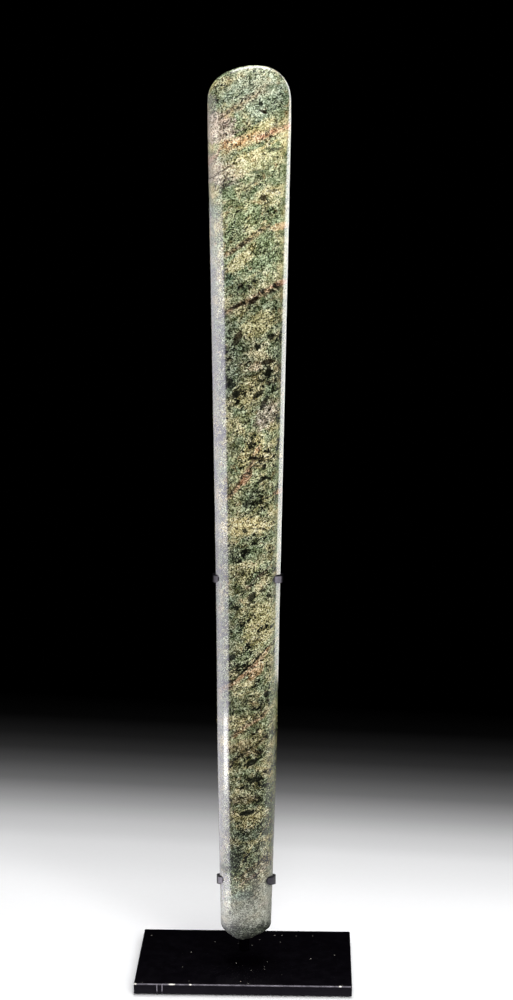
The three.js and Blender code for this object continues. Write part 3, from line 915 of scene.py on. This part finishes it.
class StandSettings(PropertyGroup):
    """Sizes and colours of the steel stand's finish."""

    plate_edge: FloatProperty(
        name="Plate edge", description="Rounding of the plate's edges", default=0.45 * MM, unit="LENGTH")
    clip_edge: FloatProperty(
        name="Clip edge", description="Rounding of the clips' edges", default=0.45 * MM, unit="LENGTH")
    sheen: FloatProperty(
        name="Sheen", description="Roughness of the paint", default=0.36, min=0, max=1, subtype="FACTOR")
    gloss: FloatProperty(
        name="Gloss", description="Share of bare gloss that the dull paint keeps",
        default=0.16, min=0, max=1, subtype="FACTOR")
    dust: FloatProperty(
        name="Dust", description="How strongly the dust shows", default=0.9, min=0, max=1, subtype="FACTOR")
    gloss_colour: StringProperty(
        name="Gloss tint", description="sRGB hex of the paint's gloss", default="#efe5ff")
    paint_colour: StringProperty(
        name="Paint", description="sRGB hex of the paint", default="#020103")
    worn_colour: StringProperty(
        name="Thin paint", description="sRGB hex of thinner paint", default="#040305")
    # This pale grey is also the painted highlight on the plate's top edge and the painted reflection on the
    # clips
    scratch_and_reflection_colour: StringProperty(
        name="Handled paint", description="sRGB hex of paint rubbed thin by hands", default="#b5afbb")


class StageSettings(PropertyGroup):
    """The floor and the light."""

    floor_colour: FloatVectorProperty(
        name="Floor", description="Colour of the floor near the object", default=(0.9, 0.9, 0.91),
        size=3, subtype="COLOR")
    floor_size: FloatProperty(
        name="Floor size", description="Width of the floor", default=6.0, unit="LENGTH")
    light: FloatProperty(
        name="Light", description="Strength of all the lamps together", default=1.0, min=0)


# Stage

LILAC_WHITE = (0.92, 0.89, 1.0)
WARM_WHITE = (1.0, 0.94, 0.90)
PLAIN_WHITE = (1.0, 1.0, 1.0)

# An upright light screen beside the stone. Turn is in degrees from the camera side, towards the
# left where positive; lengths are in metres.
Screen = namedtuple("Screen", "turn radiance bottom top width distance colour")
LEFT_TURNS = (54.6, 70.6, 86.6, 102.6, 118.6, 134.6)
LEFT_RADIANCES = (6.4, 6.4, 5.8, 4.4, 3.0, 2.0)
RIGHT_TURNS = (-110, -126, -142, -158, -168)
RIGHT_RADIANCES = (6.0, 4.5, 3.0, 1.8, 1.2)
# Share of the radiance, bottom, top and colour of each stretch of the screens
LEFT_PARTS = (
    (0.80, 0.0, 0.12, LILAC_WHITE),
    (0.74, 0.12, 0.225, LILAC_WHITE),
    (0.97, 0.225, 0.415, LILAC_WHITE),
    (0.72, 0.415, 0.445, LILAC_WHITE),
    (0.36, 0.445, 0.56, WARM_WHITE),
)
RIGHT_PARTS = (
    (0.7, 0.07, 0.16, PLAIN_WHITE),
    (0.9, 0.16, 0.27, PLAIN_WHITE),
    (1.0, 0.27, 0.75, PLAIN_WHITE),
)
SIDE_SCREENS = [
    Screen(turn, radiance * share, bottom, top, width, distance, colour)
    for turns, radiances, stretches, width, distance in (
        (LEFT_TURNS, LEFT_RADIANCES, LEFT_PARTS, 0.048, 0.17),
        (RIGHT_TURNS, RIGHT_RADIANCES, RIGHT_PARTS, 0.10, 0.36),
    )
    for turn, radiance in zip(turns, radiances)
    for share, bottom, top, colour in stretches
]
# The screens that light the foot of the stone's left side
LOW_SCREENS = [Screen(62, 9.0, 0.055, 0.112, 0.06, 0.165, PLAIN_WHITE)] + [
    Screen(turn, radiance, 0.002, 0.045, 0.03, 0.06, LILAC_WHITE)
    for turn, radiance in ((58, 6.5), (86, 4.5), (114, 1.5))
]
SCREENED = "lit_by_side_screens"

# Lamps over the stone's top that only its gloss shows, by degrees above the camera side: middle,
# half range and radiance
TOP_GLOWS = ((92.5, 17.5, 12.0), (62.5, 12.5, 1.0), (44.0, 6.0, 0.3))
TOP_GLOW_DISTANCE = 0.6
TOP_GLOW_WIDTH = 0.5

# Large soft lamps that light everything and show in no gloss
Fill = namedtuple("Fill", "name place aim width height radiance")
FILLS = (
    Fill("overhead", (0.02, 0.10, 1.15), (0, 0, 0.3), 0.6, 0.45, 10.0),
    Fill("front_key", (0.55, -1.55, 1.3), (0, 0, 0.25), 1.4, 1.4, 8.0),
    Fill("front_left_fill", (-0.9, -1.4, 1.0), (0, 0, 0.25), 1.2, 1.2, 1.0),
)


def area_lamp(name, place, aim, width, height, radiance, lights="both"):
    """A soft rectangular lamp at a place, turned to an aim, of a given brightness per area.
    It lights "both" ways, or only where it shows as a "gloss", or only as a "fill"."""
    lamp = bpy.data.lights.new(name, "AREA")
    lamp.shape = "RECTANGLE"
    lamp.size = width
    lamp.size_y = height
    lamp.energy = radiance * math.pi * width * height
    thing = bpy.data.objects.new(name, lamp)
    thing.location = place
    thing.rotation_euler = (Vector(aim) - Vector(place)).to_track_quat("-Z", "Y").to_euler()
    thing.visible_camera = False
    thing.visible_diffuse = lights != "gloss"
    thing.visible_glossy = lights != "fill"
    bpy.context.scene.collection.objects.link(thing)
    return thing


def screened():
    """The collection of what the side screens light: the stone, and not its dull black stand."""
    return bpy.data.collections.get(SCREENED) or bpy.data.collections.new(SCREENED)


def hang_screens(strength):
    """Upright light screens round the stone's sides, which give it its long reflections."""
    for number, screen in enumerate(SIDE_SCREENS + LOW_SCREENS):
        turn = math.radians(screen.turn)
        middle = (screen.bottom + screen.top) / 2
        place = (-math.sin(turn) * screen.distance, -math.cos(turn) * screen.distance, middle)
        lamp = area_lamp(
            f"side_screen_{number}", place, (0, 0, middle), screen.width, screen.top - screen.bottom,
            screen.radiance * strength, "gloss",
        )
        lamp.data.color = screen.colour
        lamp.light_linking.receiver_collection = screened()
        lamp.light_linking.blocker_collection = screened()


def hang_top_glows(strength):
    """Soft lamps over the top, which show as its pale rim and the haze under it."""
    top = Vector((0, 0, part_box("axe_head")[1].z))
    for number, (middle, half, radiance) in enumerate(TOP_GLOWS):
        turn = math.radians(middle)
        place = top + Vector((0, -math.cos(turn), math.sin(turn))) * TOP_GLOW_DISTANCE
        length = 2 * TOP_GLOW_DISTANCE * math.tan(math.radians(half))
        area_lamp(f"top_glow_{number}", place, top, TOP_GLOW_WIDTH, length, radiance * strength, "gloss")


def hang_fills(strength):
    """The large soft lamps."""
    for fill in FILLS:
        radiance = fill.radiance * strength
        area_lamp(fill.name, fill.place, fill.aim, fill.width, fill.height, radiance, "fill")


# How much of the painted pool of light the floor keeps at each distance in metres: from in front of the
# object's middle to far behind it. Its edge is slightly turned, so the pool of light reaches further on the
# left.
FLOOR_REACH = (-0.3, 0.7)
FLOOR_FALLOFF = (
    (-0.24, 0.02), (-0.16, 0.15), (-0.10, 1.0), (0.05, 0.98), (0.085, 0.96), (0.117, 0.92),
    (0.153, 0.83), (0.187, 0.76), (0.205, 0.66), (0.227, 0.58), (0.265, 0.357), (0.307, 0.154),
    (0.346, 0.072), (0.379, 0.029), (0.415, 0.011), (0.46, 0.002), (0.52, 0.0),
)
FLOOR_TURN = 0.12
FLOOR_GRAIN_SIZE = 4


def pale_floor(settings):
    """A matt white floor with a painted pool of light round the object, falling off to black behind it."""
    material, tree, shader, in_mm = new_material("pale_matt_floor")
    place = add(tree, "ShaderNodeSeparateXYZ", [in_mm])
    behind = plus(tree, place.outputs["Y"], place.outputs["X"], FLOOR_TURN)
    near = Vector(settings.floor_colour)
    first, last = FLOOR_REACH
    stops = []
    for distance, share in FLOOR_FALLOFF:
        stops.append(((distance - first) / (last - first), tuple(near * share) + (1,)))
    falloff = ramp(tree, fade(tree, behind, first / MM, last / MM, shape="LINEAR"), stops)
    grain = noise_at(tree, in_mm, FLOOR_GRAIN_SIZE, 3, 0.6)
    speckled = stain(tree, falloff, (0, 0, 0, 1), product(tree, grain, 0.03))
    tree.links.new(speckled, shader.inputs["Base Color"])
    shader.inputs["Roughness"].default_value = 1.0
    shader.inputs["Specular IOR Level"].default_value = 0.0
    return material


def lay_floor(settings):
    """The floor under the stand, which isn't part of the object."""
    bm = bmesh.new()
    bmesh.ops.create_grid(bm, x_segments=1, y_segments=1, size=settings.floor_size / 2)
    mesh = bpy.data.meshes.new("pale_floor")
    bm.to_mesh(mesh)
    bm.free()
    mesh.materials.append(pale_floor(settings))
    floor = bpy.data.objects.new("pale_floor", mesh)
    bpy.context.scene.collection.objects.link(floor)


def aim_camera():
    """The camera at the photograph's viewing angle."""
    data = bpy.data.cameras.new("photo_camera")
    data.sensor_width = CAMERA_SENSOR
    data.lens = CAMERA_LENS
    data.dof.use_dof = False
    data.clip_start = 0.01
    camera = bpy.data.objects.new("photo_camera", data)
    camera.location = CAMERA_PLACE
    camera.rotation_euler = (math.radians(CAMERA_PITCH), 0, math.radians(CAMERA_TURN))
    bpy.context.scene.collection.objects.link(camera)
    bpy.context.scene.camera = camera


# Operators

class OBJECT_OT_dress_axe_head(Operator):
    """Makes the polished stone"""

    bl_idname = "object.dress_axe_head"
    bl_label = "Axe head"

    def execute(self, context):
        settings = context.scene.axe_stone
        screened().objects.link(shape_stone(settings, polished_jadeite(settings)))
        return {"FINISHED"}


class OBJECT_OT_dress_stand(Operator):
    """Makes the plate and the rod of the stand"""

    bl_idname = "object.dress_axe_stand"
    bl_label = "Plate and rod"

    def execute(self, context):
        settings = context.scene.axe_stand
        shape_steel("stand_base", "steel_base_plate", settings.plate_edge, painted_plate(settings))
        rod_paint = black_painted_steel(settings, "black_painted_steel_rod").material
        shape_steel("stand_post", "steel_rod", settings.clip_edge, rod_paint)
        return {"FINISHED"}


class OBJECT_OT_dress_clips(Operator):
    """Makes the two bent clips that hold the stone"""

    bl_idname = "object.dress_axe_clips"
    bl_label = "Clips"

    def execute(self, context):
        settings = context.scene.axe_stand
        for clip in CLIPS:
            paint = clip_with_painted_reflection(settings, clip)
            piece = shape_steel(clip.node, "steel_" + clip.node, settings.clip_edge, paint)
            # The stone's long reflections run on past the clips
            piece.visible_glossy = False
        return {"FINISHED"}


class OBJECT_OT_set_axe_stage(Operator):
    """Sets the floor, the light and the camera"""

    bl_idname = "object.set_axe_stage"
    bl_label = "Stage"

    def execute(self, context):
        settings = context.scene.axe_stage
        lay_floor(settings)
        aim_camera()
        hang_screens(settings.light)
        hang_top_glows(settings.light)
        hang_fills(settings.light)
        world = bpy.data.worlds.new("dark_studio")
        world.use_nodes = True
        world.node_tree.nodes["Background"].inputs["Color"].default_value = (0.0, 0.0, 0.0, 1)
        context.scene.world = world
        context.scene.view_settings.view_transform = "Standard"
        return {"FINISHED"}


class VIEW3D_PT_axe_head(Panel):
    """Lists the steps that dress the axe head"""

    bl_label = "Axe head"
    bl_space_type = "VIEW_3D"
    bl_region_type = "UI"
    bl_category = "Axe head"

    def draw(self, context):
        for group in (context.scene.axe_stone, context.scene.axe_stand, context.scene.axe_stage):
            box = self.layout.box()
            for name in group.__annotations__:
                box.prop(group, name)
        for step in STEPS:
            self.layout.operator(step.bl_idname)


STEPS = (OBJECT_OT_set_axe_stage, OBJECT_OT_dress_stand, OBJECT_OT_dress_clips, OBJECT_OT_dress_axe_head)
GROUPS = {"axe_stone": StoneSettings, "axe_stand": StandSettings, "axe_stage": StageSettings}


def register():
    for group in GROUPS.values():
        bpy.utils.register_class(group)
    for name, group in GROUPS.items():
        setattr(bpy.types.Scene, name, PointerProperty(type=group))
    for step in STEPS:
        bpy.utils.register_class(step)
    bpy.utils.register_class(VIEW3D_PT_axe_head)


def unregister():
    bpy.utils.unregister_class(VIEW3D_PT_axe_head)
    for step in reversed(STEPS):
        bpy.utils.unregister_class(step)
    for name in GROUPS:
        delattr(bpy.types.Scene, name)
    for group in reversed(GROUPS.values()):
        bpy.utils.unregister_class(group)


def main():
    register()
    bpy.ops.object.set_axe_stage()
    bpy.ops.object.dress_axe_stand()
    bpy.ops.object.dress_axe_clips()
    bpy.ops.object.dress_axe_head()


if __name__ == "__main__":
    main()
